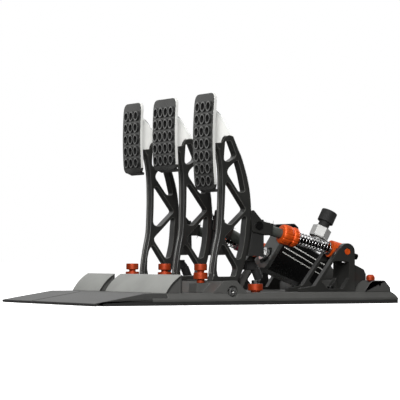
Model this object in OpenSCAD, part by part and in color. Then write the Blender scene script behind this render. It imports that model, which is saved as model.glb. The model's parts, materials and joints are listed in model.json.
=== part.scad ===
// Sim racing pedal set: throttle, brake and clutch on two floor plates.
// X is the driver's right, Y points away from the driver, Z is up.
// The origin is on the floor, at the middle of the length and of the width.
// Side outlines are written as [distance from the front edge, height].

/* [Base] */
// Length of the set from the heel edge to the rear edge
base_length = 450; // [440:1:480]
// Height of the top of the floor plates
base_top = 15.5; // [14:0.1:16]
// Thickness of the rubber strips under the plates
rubber_thickness = 4.5; // [3:0.1:5]
// Thickness of the sheet that forms each plate's top
sheet = 4; // [3:0.1:4.5]
// Outer half width of the whole set
half_width = 155.5; // [153:0.5:170]
// Left edge of the main plate, which carries the throttle and the brake
main_left = -50.3; // [-51:0.1:-49.8]
// Gap between the two floor plates
plate_gap = 1; // [0.5:0.1:1]
// Diameter of the holes that bolt the set to a rig
rig_hole_d = 8.5; // [6.5:0.5:9]

/* [Heel end] */
// Length of the sloping heel ramp
ramp_length = 72; // [60:1:80]
// Distance from the front edge to the raised heel rail
heel_length = 103.5; // [100:0.5:104]
// Height of the ramp's front edge
ramp_edge = 3.5; // [3:0.1:4]
// Depth of the heel rail from its foot to its rear face
rail_depth = 24; // [20:0.5:26]
// Height of the heel rail above the plate
rail_height = 24.2; // [20:0.1:25]
// Radius of the heel rail's curved front
rail_curve_r = 62; // [46:1:90]
// Inset of the rear rails and of the clutch's heel rail from the side of their plate
rail_inset = 4.5; // [4:0.5:6]
// Inset of the heel rails at the joint, and of the main one at its outer end
heel_inset = 9; // [7:0.5:10]
// Wall of the hollow cross rails
rail_wall = 3; // [2:0.5:4]

/* [Rear rail] */
// Distance from the front edge to the foot of the rear rail
rear_rail_start = 398.5; // [398:0.5:400]
// Depth of the rear rail
rear_rail_depth = 42; // [40:0.5:44]
// Height of the rear rail above the plate
rear_rail_height = 15; // [12:0.5:16]

/* [Pedal pivot] */
// Distance from the front edge to the pedal pivot
pivot_y = 199.5; // [198:0.5:201]
// Height of the pedal pivot
pivot_z = 17.3; // [17:0.1:18]
// Diameter of the pedal axle
axle_d = 10; // [8:0.5:12]
// Outer radius of the hub at the foot of each arm
hub_r = 12; // [11:0.1:12.2]
// Width of that hub
hub_width = 16; // [16:0.5:18]
// Height of the pivot beam's top
beam_top = 31.5; // [31:0.1:32]
// Diameter of the screw recess in the beam's end
recess_d = 15; // [14:0.5:17]
// Depth of that recess
recess_depth = 4; // [3:0.5:4]

/* [Pedals] */
// Distance from the set's right side to the throttle's centre line
throttle_inset = 49.5; // [47.5:0.5:51.5]
// Brake centre line
brake_x = -2; // [-3:0.5:1]
// Distance from the set's left side to the clutch's centre line
clutch_inset = 51; // [49.5:0.5:52.5]
// How far the brake and the clutch rest towards the driver, in degrees
rest_tilt = 1.3; // [0.8:0.1:1.6]
// Thickness of a pedal arm
arm_thickness = 15; // [14:0.5:16]

/* [Face plates] */
// Width of the throttle's and the clutch's face plate
narrow_plate = 58; // [54:0.5:60]
// Width of the brake's face plate
wide_plate = 70; // [64:0.5:72]
// Thickness of a face plate
plate_thickness = 4; // [3.5:0.1:4.5]
// Radius of the face plates' curve, seen from the side
plate_curve_r = 586; // [500:1:700]
// Height of the middle of that curve
plate_mid_z = 214; // [212:1:216]
// Distance from the front edge to the face of the throttle's plate
plate_face_y = 178; // [177:0.5:179]
// Diameter of the holes in the face plates
grip_hole_d = 10; // [8:0.5:11]
// Outer radius of the raised rim round each hole
grip_rim_r = 6.9; // [6.2:0.1:7.2]
// Height of those rims
grip_rim_height = 2.2; // [1.2:0.1:2.6]
// Distance between the columns of holes
grip_pitch_x = 15.6; // [15:0.1:16]
// Distance between the rows of holes
grip_pitch_z = 16.3; // [16:0.1:16.6]

/* [Spring link] */
// Diameter of the throttle's and the clutch's rod
rod_d = 8; // [7:0.5:8]
// Diameter of the brake's push rod
push_rod_d = 10; // [8:0.5:10]
// Distance from the rod's pivot to the first orange knob
preload_start = 41; // [40:0.5:42]
// Length of the preload knob
preload_length = 15; // [13:0.5:15]
// Length of the lock knob behind it
lock_length = 9.4; // [8:0.1:9.6]
// Outer radius of both knobs
link_knob_r = 13.5; // [12:0.5:14]
// Outer radius of the coil springs
coil_r = 9; // [8:0.1:9.2]
// Diameter of the spring wire
wire_d = 1.8; // [1.4:0.1:2]
// Turns of the throttle spring
throttle_turns = 12; // [8:1:12]
// Turns of each of the clutch's two springs
clutch_turns = 5; // [4:1:5]
// Width of the ring that divides the clutch's springs
divider_length = 8; // [6:0.5:8]
// Play of the rod in the bore of its trunnion, on the radius
rod_play = 0.8; // [0.75:0.05:1]

/* [Trunnion and rear bracket] */
// Distance from the front edge to the trunnion
trunnion_y = 386.5; // [385:0.5:387]
// Height of the trunnion
trunnion_z = 69.4; // [69:0.1:71]
// Outer radius of the trunnion barrel
trunnion_r = 12; // [11:0.5:12]
// Diameter of the trunnion's pins
trunnion_pin_d = 8.6; // [8:0.1:9]
// Thickness of the bracket's side plates
bracket_plate = 10; // [9:0.5:10]
// Outer radius of the round head of a side plate
bracket_head_r = 11.3; // [11:0.1:12]

/* [Brake cylinder] */
// Slope of the brake's rod and cylinder, in degrees below level
brake_slope = 27.5; // [27:0.1:28]
// Distance from the brake rod's pivot to the rear end of the cylinder's block
block_end = 170.5; // [170:0.25:172]
// Half the width of the cylinder's block
block_half = 20; // [18:0.5:21]
// Height of the block's top above the piston's axis
block_top = 37; // [35:0.5:39]
// Length of the block with its front cap
block_length = 80; // [76:0.5:80]
// Radius of the piston
piston_r = 9.5; // [9:0.5:10.5]
// Length of the piston
piston_length = 44; // [40:0.5:48]
// How far the piston stands out at rest
piston_out = 8; // [6:0.5:10]
// Play of the push rod in the piston's cup
cup_play = 0.5; // [0.4:0.05:0.7]

/* [Pressure sensor] */
// Distance from the block's rear end to the sensor
sensor_inset = 19.6; // [19:0.1:21.5]
// Distance from the piston's axis to the sensor's hexagon
hexagon_at = 61.2; // [58:0.1:63]
// Height of that hexagon
hexagon_height = 14.4; // [12:0.1:15]
// Size of the hexagon across its flats
hexagon_flats = 24; // [22:0.5:25]
// Outer radius of the plug on the sensor
plug_r = 11.5; // [10:0.5:12]

/* [Knobs] */
// Distance from the front edge to the stop knobs
stop_knob_y = 175; // [174:0.5:176]
// Height of the pad that carries a stop knob
stop_pad_top = 28; // [27:0.5:28]
// Outer radius of the cap of a stop knob
stop_cap_r = 8.6; // [8:0.1:9]
// Outer radius of the lower disc of a stop knob
stop_disc_r = 9.4; // [9:0.1:9.8]
// Distance from the front edge to the travel knobs
travel_knob_y = 256.9; // [255:0.1:259]
// Outer radius of a travel knob
travel_knob_r = 10; // [9:0.5:11]
// Outer radius of the clamp knob on the rear rail
clamp_knob_r = 5.9; // [5:0.1:7]

/* [Clearances] */
// Running clearance of a pin or axle, on the radius
running = 0.05; // [0.02:0.01:0.1]
// Gap between flat faces that pass each other
side_gap = 0.3; // [0.3:0.05:0.4]

/* [Hidden] */
$fn = 64;

throttle_x = half_width - throttle_inset;
clutch_x = clutch_inset - half_width;
clutch_right = main_left - plate_gap;
rear_edge = base_length;
plate_bottom = rubber_thickness;
pocket_top = base_top - sheet;
bevel = 5.5;
rear_rail_top = base_top + rear_rail_height;
beam_end_gap = 5;
slot_half = max(hub_width, arm_thickness) / 2 + side_gap;
bore_r = axle_d / 2 + running;

// Where the rods meet the lugs, for the throttle and for an arm tilted back by rest_tilt.
throttle_pin = [255.4, 104.2];
clutch_pin = turned(throttle_pin, rest_tilt);
brake_pin = clutch_pin;
cylinder_start = block_end - block_length;
sensor_at = block_length - sensor_inset;
face_of_cylinder = brake_pin + cylinder_start * [cos(brake_slope), -sin(brake_slope)];
throttle_slope = slope(throttle_pin);
clutch_slope = slope(clutch_pin);
throttle_reach = reach(throttle_pin);
clutch_reach = reach(clutch_pin);
bracket_half = 22;
lug_half = 9;
fork_in = lug_half + side_gap;
fork_plate = 3;
fork_end = 21.5;
web_start = 16.2;
spring_start = preload_start + preload_length + lock_length + 2 * 0.1;
trunnion_front = 16.5;
trunnion_back = 13.5;
rod_past = 28;
clutch_spring_end = clutch_reach - trunnion_front;
clutch_half = (clutch_spring_end - spring_start - divider_length) / 2;
clevis_pin_r = 4;

// Places on the floor plates.
rubber_start = 12.3;
joint_bolt_y = [132, 330];
joint_bolt_z = 8;
joint_head_r = 3.3;
rig_hole_y = [147, 300];
main_holes_x = [main_left + 20.3, half_width - 17.5];
clutch_holes_x = [-half_width + 14.5, clutch_right - 16.7];
beam_keel = [pivot_y - 15.5, pivot_y + 31.5];
beam_start = pivot_y - 29.5;
beam_finish = pivot_y + 22;
clamp_knob_x = half_width - 12.5;
clamp_knob_y = rear_rail_start + 14.5;
clamp_stem_r = 2.5;
rubber_side = 0.6;
rubber_strip = 9;
stop_stem_r = 3;
bracket_web_top = base_top + 4;
bracket_web_half = bracket_half - bracket_plate / 2;
bracket_screw_y = [342, 372];
strap_half = 5.5;
sensor_x = -17;
sensor_screw_y = beam_finish + 16.5;
sensor_foot_top = base_top + 3;
screw_r = 2.5;
screw_places = concat(
  [for (x = [throttle_x, clutch_x], y = bracket_screw_y) [x, y, bracket_web_top]],
  [for (x = [throttle_x, clutch_x]) [x + sensor_x, sensor_screw_y, sensor_foot_top]]
);

// Lower edge, upper edge and middle row of holes of each face plate.
throttle_plate = [plate_mid_z - 63.5, plate_mid_z + 63.8, plate_mid_z - 2.7];
brake_plate = [plate_mid_z - 33.5, plate_mid_z + 63.5, plate_mid_z + 12.6];
clutch_plate = [plate_mid_z - 34.5, plate_mid_z + 63.5, plate_mid_z + 12.6];

// Depths inside the brake cylinder.
cup_depth = 8;
cap_length = 6;
cap_bore_r = 12.7;
bore_depth = 66;
groove_t = [11, 18.5, 26];
reservoir_half = 11;

// Small functions for points in the side view.
function turned(p, a) = [
  pivot_y + (p[0] - pivot_y) * cos(a) - (p[1] - pivot_z) * sin(a),
  pivot_z + (p[0] - pivot_y) * sin(a) + (p[1] - pivot_z) * cos(a)
];
function slope(p) = atan2(p[1] - trunnion_z, trunnion_y - p[0]);
function reach(p) = norm([trunnion_y - p[0], trunnion_z - p[1]]);
function corner(a, b, c, r, n) =
  let (
    u = (a - b) / norm(a - b),
    v = (c - b) / norm(c - b),
    t = min(r, 0.45 * norm(a - b), 0.45 * norm(c - b)),
    p = b + u * t,
    q = b + v * t
  ) [for (i = [0:n]) let (k = i / n) (1 - k) * (1 - k) * p + 2 * k * (1 - k) * b + k * k * q];
function rounded(points, r, n = 4) =
  let (m = len(points))
  [for (i = [0:m - 1]) each corner(points[(i + m - 1) % m], points[i], points[(i + 1) % m], r, n)];
function smooth(p, n = 3) =
  let (m = len(p))
  concat([
    for (i = [0:m - 2], j = [0:n - 1])
      let (
        k = j / n,
        a = p[max(i - 1, 0)],
        b = p[i],
        c = p[i + 1],
        d = p[min(i + 2, m - 1)]
      )
      0.5 * (2 * b + (c - a) * k + (2 * a - 5 * b + 4 * c - d) * k * k
        + (3 * b - a - 3 * c + d) * k * k * k)
  ], [p[m - 1]]);

// Moves side outlines from the front edge to the origin.
module at_front() {
  translate([0, -base_length / 2, 0]) children();
}

// Extrudes a side outline across the set, from one X to another.
module across(x0, x1) {
  translate([x0, 0, 0]) rotate([90, 0, 90]) linear_extrude(height = x1 - x0) children();
}

module bar_x(x0, x1, p, r) {
  translate([x0, p[0], p[1]]) rotate([0, 90, 0]) cylinder(h = x1 - x0, r = r);
}

// A frame along a rod: Y runs down the rod from point p, Z stands square to it.
module along_rod(x, p, fall) {
  translate([x, p[0], p[1]]) rotate([-fall, 0, 0]) children();
}

module turn_y(s0, s1, r) {
  translate([0, s0, 0]) rotate([-90, 0, 0]) cylinder(h = s1 - s0, r = r);
}

module ring_y(s0, s1, r, hole_r) {
  difference() {
    turn_y(s0, s1, r);
    turn_y(s0 - 1, s1 + 1, hole_r);
  }
}

// Tilts a pedal about the pivot, towards the driver.
module tilted(a) {
  translate([0, pivot_y, pivot_z]) rotate([a, 0, 0]) translate([0, -pivot_y, -pivot_z]) children();
}

// Floor plates: a formed tray with a bevelled outer side and a rounded rear edge.
module plate_side() {
  polygon([
    [heel_length - 22, plate_bottom], [heel_length - 22, plate_bottom + 5],
    [heel_length + 0.3, plate_bottom + 5], [heel_length + 0.3, base_top],
    [rear_edge - 9, base_top], [rear_edge - 4.5, base_top - 3],
    [rear_edge, base_top - 9.5], [rear_edge, plate_bottom]
  ]);
}

// Section seen from the front: side is 1 for a bevel on the right, -1 on the left.
module plate_section(x_in, x_out, side, top) {
  polygon([
    [x_in, 0], [x_in, top], [x_out - side * bevel, top],
    [x_out, base_top - 7.5], [x_out, 0]
  ]);
}

module section_body(x_in, x_out, side, top) {
  translate([0, rear_edge + 1, 0]) rotate([90, 0, 0]) linear_extrude(height = rear_edge + 2)
    plate_section(x_in, x_out, side, top);
}

module base_plate(x_in, x_out, side, holes_x) {
  x0 = min(x_in, x_out);
  x1 = max(x_in, x_out);
  beam_x = beam_span(x_in, x_out, side);
  color("dimgray") at_front() difference() {
    intersection() {
      across(x0, x1) plate_side();
      section_body(x_in, x_out, side, base_top);
    }
    plate_pocket(x0, x1, beam_finish + 10.5, rear_edge - 16);
    plate_pocket(x0, x1, heel_length + 8, beam_start - 10);
    translate([beam_x[0], beam_keel[0], plate_bottom - 1])
      cube([beam_x[1] - beam_x[0], beam_keel[1] - beam_keel[0], base_top]);
    for (x = holes_x, y = rig_hole_y)
      translate([x, y, 0]) cylinder(h = 2 * base_top, d = rig_hole_d);
    screw_recess(x_out, side);
    for (p = screw_places)
      translate([p[0], p[1], 0]) cylinder(h = 2 * base_top, r = screw_r);
    for (y = joint_bolt_y)
      bar_x(x_in - 11, x_in + 11, [y, joint_bolt_z], screw_r);
    translate([throttle_x, travel_knob_y, 0]) cylinder(h = 2 * base_top, r = stop_stem_r + running);
  }
}

module plate_pocket(x0, x1, y0, y1) {
  translate([x0 + 10, y0, plate_bottom - 1])
    cube([x1 - x0 - 20, y1 - y0, pocket_top - plate_bottom + 1]);
}

function beam_span(x_in, x_out, side) =
  side > 0 ? [x_in + rail_inset, x_out - beam_end_gap] : [x_out + beam_end_gap, x_in - rail_inset];

module screw_recess(x_out, side) {
  face = x_out - side * beam_end_gap;
  bar_x(min(face - side * recess_depth, x_out + side * 2), max(face - side * recess_depth, x_out + side * 2),
    [pivot_y, pivot_z], recess_d / 2);
}

module base_plate_main() {
  base_plate(main_left, half_width, 1, main_holes_x);
}

module base_plate_clutch() {
  base_plate(clutch_right, -half_width, -1, clutch_holes_x);
}

// Rubber strips that the plates stand on, a closed frame under each plate.
module rubber_frame(x0, x1) {
  depth = rear_edge - rubber_side - rubber_start;
  difference() {
    translate([x0, rubber_start, 0]) cube([x1 - x0, depth, rubber_thickness]);
    translate([x0 + rubber_strip, rubber_start + rubber_strip, -1])
      cube([x1 - x0 - 2 * rubber_strip, depth - 2 * rubber_strip, rubber_thickness + 2]);
  }
}

module base_rubber() {
  color("#181818") at_front() {
    rubber_frame(main_left + 0.2, half_width - rubber_side);
    rubber_frame(-half_width + rubber_side, clutch_right - 0.2);
  }
}

// Heel ramp: a shallow wedge, hollow below, that laps over the plate's front tongue.
module heel_plate(x_in, x_out, side) {
  x0 = min(x_in, x_out);
  x1 = max(x_in, x_out);
  color("gray") at_front() difference() {
    intersection() {
      across(x0, x1) polygon([
        [0, plate_bottom - 4.5], [0, ramp_edge], [ramp_length, base_top],
        [heel_length, base_top], [heel_length, 0]
      ]);
      section_body(x_in, x_out, side, base_top);
    }
    across(x0 - 1, x1 + 1) polygon([
      [3, -1], [3, rubber_thickness - 3.5], [12, rubber_thickness],
      [heel_length - 22, rubber_thickness], [heel_length - 22, plate_bottom + 5],
      [heel_length + 1, plate_bottom + 5], [heel_length + 1, -1]
    ]);
    across(x0 + 10, x1 - 10) polygon([
      [30, plate_bottom - 1], [30, 5.5], [ramp_length, 12],
      [heel_length - 24, 12], [heel_length - 24, plate_bottom - 1]
    ]);
  }
}

module heel_plate_main() {
  heel_plate(main_left, half_width, 1);
}

module heel_plate_clutch() {
  heel_plate(clutch_right, -half_width, -1);
}

// Cross rails: hollow profiles with a shallow recess in each end face.
// The heel rail's front is an arc from its foot to the top of its rear face.
module rail_outline(grow) {
  start = heel_length + 0.5;
  chord = norm([rail_depth, rail_height]);
  back = sqrt(pow(rail_curve_r, 2) - pow(chord / 2, 2)) / chord;
  intersection() {
    translate([start + rail_depth / 2 + back * rail_height, base_top + rail_height / 2 - back * rail_depth])
      circle(r = rail_curve_r - grow);
    translate([start + grow, base_top]) square([rail_depth - 2 * grow, 60]);
  }
}

module rear_outline(grow) {
  y0 = rear_rail_start;
  y1 = y0 + rear_rail_depth;
  polygon([
    [y0 + 1.3 * grow, base_top], [y0 + 8 + grow, rear_rail_top - 4],
    [y0 + 14 + 0.3 * grow, rear_rail_top - grow], [y1 - 9.5, rear_rail_top - grow],
    [y1 - 1 - grow, base_top + 6], [y1 - grow, base_top]
  ]);
}

module rail_body(x0, x1) {
  difference() {
    across(x0, x1) children(0);
    across(x0 + rail_wall, x1 - rail_wall) children(1);
    across(x0 - 1, x0 + 1.6) children(2);
    across(x1 - 1.6, x1 + 1) children(2);
  }
}

module heel_rail(x_in, x_out, side) {
  span = heel_span(x_in, x_out, side);
  color("#8c8d8a") at_front() rail_body(span[0], span[1]) {
    rail_outline(0);
    translate([0, -0.01]) rail_outline(rail_wall);
    rail_outline(2.6);
  }
}
function heel_span(x_in, x_out, side) =
  side > 0 ? [x_in + heel_inset, x_out - heel_inset] : [x_out + rail_inset, x_in - heel_inset];
function rail_span(x_in, x_out, side) =
  side > 0 ? [x_in + rail_inset, x_out - rail_inset] : [x_out + rail_inset, x_in - rail_inset];

module heel_rail_main() {
  heel_rail(main_left, half_width, 1);
}

module heel_rail_clutch() {
  heel_rail(clutch_right, -half_width, -1);
}

module rear_rail(x_in, x_out, side) {
  span = rail_span(x_in, x_out, side);
  color("#4a4a48") at_front() difference() {
    rail_body(span[0], span[1]) {
      rear_outline(0);
      rear_outline(rail_wall);
      rear_outline(1.6);
    }
    for (x = span)
      bar_x(x - 5, x + 5, [rear_rail_start + 26, rear_rail_top - 6], 1.6);
    translate([clamp_knob_x, clamp_knob_y, base_top]) cylinder(h = 30, r = clamp_stem_r + running);
  }
}

module rear_rail_main() {
  rear_rail(main_left, half_width, 1);
}

module rear_rail_clutch() {
  rear_rail(clutch_right, -half_width, -1);
}

// Pivot beam: a trapezoid bar with a slot for each arm and a pad for each stop knob.
module pivot_beam(x_in, x_out, side, arms_x) {
  span = beam_span(x_in, x_out, side);
  color("#3c3c3a") at_front() difference() {
    union() {
      across(span[0], span[1]) polygon([
        [beam_start, base_top], [beam_start + 16, beam_top - 1], [beam_finish - 16, beam_top],
        [beam_finish, base_top]
      ]);
      across(span[0], span[1])
        translate([beam_keel[0], plate_bottom]) square([beam_keel[1] - beam_keel[0], base_top - plate_bottom]);
      for (x = arms_x)
        across(x - 12, x + 12) polygon([
          [stop_knob_y - 12, base_top], [stop_knob_y - 11, stop_pad_top],
          [beam_start + 16, stop_pad_top], [beam_start + 16, base_top]
        ]);
    }
    for (x = arms_x) {
      across(x - slot_half, x + slot_half)
        translate([beam_keel[0] + 2.5, plate_bottom + 0.5]) square([60, 60]);
      translate([x, stop_knob_y, base_top]) cylinder(h = 30, r = stop_stem_r + running);
    }
    bar_x(span[0] - 1, span[1] + 1, [pivot_y, pivot_z], axle_d / 2);
    screw_recess(x_out, side);
  }
}

module pivot_beam_main() {
  pivot_beam(main_left, half_width, 1, [throttle_x, brake_x]);
}

module pivot_beam_clutch() {
  pivot_beam(clutch_right, -half_width, -1, [clutch_x]);
}

// Axles, one under each plate's pedals, each with a socket-headed end in the beam's recess.
module axle(x_in, x_out, side) {
  end = x_out - side * (beam_end_gap + recess_depth);
  tip = x_in + side * (rail_inset + 2);
  color("silver") at_front() difference() {
    union() {
      bar_x(min(tip, end), max(tip, end), [pivot_y, pivot_z], axle_d / 2);
      bar_x(min(end, end + side * 3), max(end, end + side * 3), [pivot_y, pivot_z], 5.2);
    }
    bar_x(min(end, end + side * 5), max(end, end + side * 5), [pivot_y, pivot_z], 2.2, $fn = 6);
  }
}

module axles() {
  axle(main_left, half_width, 1);
  axle(clutch_right, -half_width, -1);
}

// Socket screws in the brackets' feet, and the bolts that join the two floor plates.
module base_screws() {
  color("#202020") at_front() {
    for (p = screw_places) translate([p[0], p[1], 0]) difference() {
      union() {
        translate([0, 0, pocket_top]) cylinder(h = p[2] - pocket_top, r = screw_r);
        translate([0, 0, p[2]]) cylinder(h = 3, r = 4.4);
      }
      translate([0, 0, p[2] + 1.2]) cylinder(h = 3, r = 1.7, $fn = 6);
    }
    for (y = joint_bolt_y) {
      bar_x(clutch_right - 10, main_left + 10, [y, joint_bolt_z], screw_r);
      bar_x(clutch_right - 13, clutch_right - 10, [y, joint_bolt_z], joint_head_r);
      bar_x(main_left + 10, main_left + 13, [y, joint_bolt_z], joint_head_r);
    }
  }
}

// Rear bracket: two windowed side plates, a web between their feet and a seat on the rear rail.
module bracket_side() {
  difference() {
    union() {
      polygon(rounded([
        [314, base_top], [314, base_top + 5], [336, 23.5], [trunnion_y - 12, trunnion_z + 5],
        [trunnion_y, trunnion_z + 5], [trunnion_y + bracket_head_r, trunnion_z], [rear_rail_start, base_top]
      ], 1));
      translate([trunnion_y, trunnion_z]) circle(r = bracket_head_r);
    }
    polygon(rounded([
      [346, 30], [355.5, 19.3], [379, 19.3], [389, 34], [389, 55.5], [380, 56.5], [365.5, 56.5]
    ], 1.5));
  }
}

module rear_bracket(x) {
  color("#2b2b29") at_front() difference() {
    union() {
      for (s = [-1, 1])
        across(x + s * bracket_web_half - bracket_plate / 2, x + s * bracket_web_half + bracket_plate / 2)
          bracket_side();
      across(x - bracket_web_half, x + bracket_web_half)
        translate([332, base_top]) square([56, bracket_web_top - base_top]);
      children();
    }
    bar_x(x - 30, x + 30, [trunnion_y, trunnion_z], trunnion_pin_d / 2 + running);
    for (y = bracket_screw_y)
      translate([x, y, 0]) cylinder(h = 40, r = screw_r);
  }
}

// The throttle's bracket reaches over the rear rail with a rounded tail.
module rear_bracket_throttle() {
  rear_bracket(throttle_x)
    across(throttle_x - bracket_web_half, throttle_x + bracket_web_half) polygon([
      [389, base_top], [389, 55], [400, 52], [407, 49], [415, 45.2],
      [rear_rail_start + 19.6, 39.1], [rear_rail_start + 19.6, rear_rail_top],
      [rear_rail_start + 14, rear_rail_top], [rear_rail_start + 8, rear_rail_top - 4],
      [rear_rail_start, base_top]
    ]);
}

// The clutch's bracket ends in a narrow strap that lies on the rail's front slope.
module rear_bracket_clutch() {
  rear_bracket(clutch_x)
    across(clutch_x - strap_half, clutch_x + strap_half) polygon([
      [386, base_top], [386, bracket_web_top], [rear_rail_start + 0.4, bracket_web_top],
      [rear_rail_start + 6.6, rear_rail_top - 2.6], [rear_rail_start + 13, rear_rail_top + 2],
      [rear_rail_start + 17, rear_rail_top + 2], [rear_rail_start + 17, rear_rail_top],
      [rear_rail_start + 14, rear_rail_top], [rear_rail_start + 8, rear_rail_top - 4],
      [rear_rail_start, base_top]
    ]);
}

// Position sensors beside the throttle and the clutch, each on a sloping bracket.
module sensor_brackets() {
  color("#4b4b46") at_front() for (x = [throttle_x, clutch_x]) difference() {
    across(x + sensor_x - 4, x + sensor_x + 4) translate([sensor_screw_y, 0]) polygon([
      [-6.5, base_top], [-6.5, sensor_foot_top], [-4, sensor_foot_top + 6], [13, 45], [19, 45],
      [19, 42], [17, 41], [5, sensor_foot_top], [7, sensor_foot_top], [7, base_top]
    ]);
    translate([x + sensor_x, sensor_screw_y, 0]) cylinder(h = sensor_foot_top + 0.01, r = screw_r);
    translate([x + sensor_x, sensor_screw_y, sensor_foot_top]) cylinder(h = 40, r = 4.8);
  }
}

module position_sensors() {
  color("#222222") at_front()
    for (x = [throttle_x, clutch_x]) translate([x + sensor_x, sensor_screw_y, 0]) {
      across(-7.5, 5.5) polygon(rounded([[12.5, 45], [12.5, 58], [25, 58], [25, 45]], 1));
      translate([0, 25, 52]) rotate([-67, 0, 0]) {
        turn_y(1, 5, 5);
        turn_y(5, 21, 6);
      }
      bar_x(-2, 2, [25, 51.5], 4);
    }
}

// Pedal arm: front and rear columns joined by diagonals over a hub with the axle bore.
arm_front = [
  [196.6, 207], [200, 194.4], [202.4, 174.2], [202.6, 150], [201.9, 127],
  [199.7, 96.6], [194.6, 73], [190.6, 51], [188.6, 34], [pivot_y - hub_r + 0.2, pivot_z + 4]
];
arm_foot = [for (a = [180:15:300]) [pivot_y + hub_r * cos(a), pivot_z + hub_r * sin(a)]];
arm_rear = [
  [214, 17], [224, 26], [230.8, 36], [237.1, 50.8], [244.7, 81.2], [248, 110], [247.2, 140],
  [243, 165.7], [234.7, 192.5], [228.5, 206.1], [220.6, 222.3]
];
arm_crown = [[219.2, 221.9], [212.8, 223], [206, 219], [202.9, 213.7], [196.2, 212.6]];

module arm_outline() {
  polygon(concat(smooth(arm_front), arm_foot, smooth(arm_rear), smooth(arm_crown)));
}

module arm_windows() {
  for (w = [
    [[208, 215.5], [206.2, 196], [206.2, 190.5], [209, 188.2], [213.5, 188.4], [222.3, 193.6],
      [224, 197.5], [216.2, 216.5]],
    [[211, 175.5], [211.6, 171.6], [226.6, 150.2], [229.5, 148], [235.5, 148], [237.4, 150],
      [234.9, 161.4], [232.6, 172], [229.5, 182.6], [226.8, 190.3], [224.5, 190.3], [213.2, 180]],
    [[208.3, 157.8], [207.3, 131], [206, 111], [207.5, 107], [212, 104.8], [217.5, 105.2],
      [237.3, 123.4], [238, 126], [236.8, 128.2], [217.4, 156.2], [213.5, 160.5], [209.8, 161.5]],
    [[206.9, 88], [207.7, 83.7], [222.2, 62.3], [225, 59], [231, 60.5], [233.5, 69.3],
      [235.8, 79], [237.4, 90.3], [238.6, 104], [239.5, 110], [239.6, 114.5], [237.5, 117],
      [234.8, 115.6], [227.3, 107.9], [208.9, 90.6]],
    [[203.6, 79], [198.6, 71], [196, 60], [195.3, 45], [197, 36.5], [222.8, 36.5],
      [225.6, 46], [224.5, 50.5], [216.8, 62.4], [207.8, 76.8]]
  ]) polygon(rounded(w, 1.5, 2));
}

module pedal_arm(x) {
  half = arm_thickness / 2;
  color("#2b2b29") at_front() difference() {
    union() {
      across(x - half, x + half) difference() {
        arm_outline();
        arm_windows();
      }
      bar_x(x - hub_width / 2, x + hub_width / 2, [pivot_y, pivot_z], hub_r);
    }
    bar_x(x - 20, x + 20, [pivot_y, pivot_z], bore_r);
  }
}

module arm_throttle() {
  pedal_arm(throttle_x);
}

module tilted_back() {
  at_front() tilted(rest_tilt) translate([0, base_length / 2, 0]) children();
}

module arm_brake() {
  tilted_back() pedal_arm(brake_x);
}

module arm_clutch() {
  tilted_back() pedal_arm(clutch_x);
}

// Bright head between an arm's crown and its face plate, with a flange behind the plate.
head_rear = [
  [220.6, 222.3], [216.2, 229.5], [213.4, 233.4], [206.4, 244.2], [199.7, 253], [192, 258.2]
];

module head_outline() {
  polygon(concat(
    smooth(head_rear),
    [[184, 260.5], [184, 212.6]],
    [for (i = [len(smooth(arm_crown)) - 1:-1:0]) smooth(arm_crown)[i]]
  ));
}

module plate_back(depth) {
  r = plate_curve_r;
  translate([plate_face_y + r, plate_mid_z]) circle(r = r - depth, $fn = 720);
}

module pedal_head(x, half_length, mid) {
  color("#e8e8e4") at_front() difference() {
    union() {
      across(x - arm_thickness / 2, x + arm_thickness / 2) intersection() {
        head_outline();
        plate_back(plate_thickness);
      }
      across(x - 11, x + 11) intersection() {
        translate([170, mid - half_length]) square([40, 2 * half_length]);
        difference() {
          plate_back(plate_thickness);
          plate_back(plate_thickness + 4);
        }
      }
    }
  }
}

module head_throttle() {
  pedal_head(throttle_x, 52, throttle_plate[2]);
}

module head_brake() {
  tilted_back() pedal_head(brake_x, 36, brake_plate[2]);
}

module head_clutch() {
  tilted_back() pedal_head(clutch_x, 36, clutch_plate[2]);
}

// Face plate: a thin curved plate with round corners, a lower lip and rows of raised holes.
module plate_front_view(x, width, z0, z1, r) {
  translate([x, 160, 0]) rotate([90, 0, 0]) mirror([0, 0, 1]) linear_extrude(height = 40)
    polygon(rounded([[-width / 2, z0], [width / 2, z0], [width / 2, z1], [-width / 2, z1]], r));
}

module face_plate(x, width, heights, columns, rows) {
  low = heights[0];
  color("#6e6e6c") at_front() difference() {
    union() {
      intersection() {
        plate_front_view(x, width, low, heights[1], 12);
        across(x - width, x + width) difference() {
          plate_back(0);
          plate_back(plate_thickness);
        }
      }
      across(x - width / 2 + 9, x + width / 2 - 9) translate([z_face(low), low])
        polygon([[1, 0.5], [8, -3], [9, 0], [2.5, 4]]);
      at_holes(x, heights[2], columns, rows)
        translate([0, 0, -1]) cylinder(h = 1 + grip_rim_height, r = grip_rim_r);
    }
    at_holes(x, heights[2], columns, rows)
      translate([0, 0, -20]) cylinder(h = 40, d = grip_hole_d);
  }
}

// Places its child at every hole, with Z square to the curved face and out of it.
module at_holes(x, row_mid, columns, rows) {
  for (i = [0:columns - 1], j = [0:rows - 1]) {
    z = row_mid + (j - (rows - 1) / 2) * grip_pitch_z;
    lean = asin((z - plate_mid_z) / plate_curve_r);
    translate([x + (i - (columns - 1) / 2) * grip_pitch_x, z_face(z), z])
      rotate([90 - lean, 0, 0]) children();
  }
}
function z_face(z) = plate_face_y + plate_curve_r - sqrt(pow(plate_curve_r, 2) - pow(z - plate_mid_z, 2));

module face_plate_throttle() {
  face_plate(throttle_x, narrow_plate, throttle_plate, 3, 7);
}

module face_plate_brake() {
  tilted_back() face_plate(brake_x, wide_plate, brake_plate, 4, 5);
}

module face_plate_clutch() {
  tilted_back() face_plate(clutch_x, narrow_plate, clutch_plate, 3, 5);
}

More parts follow.
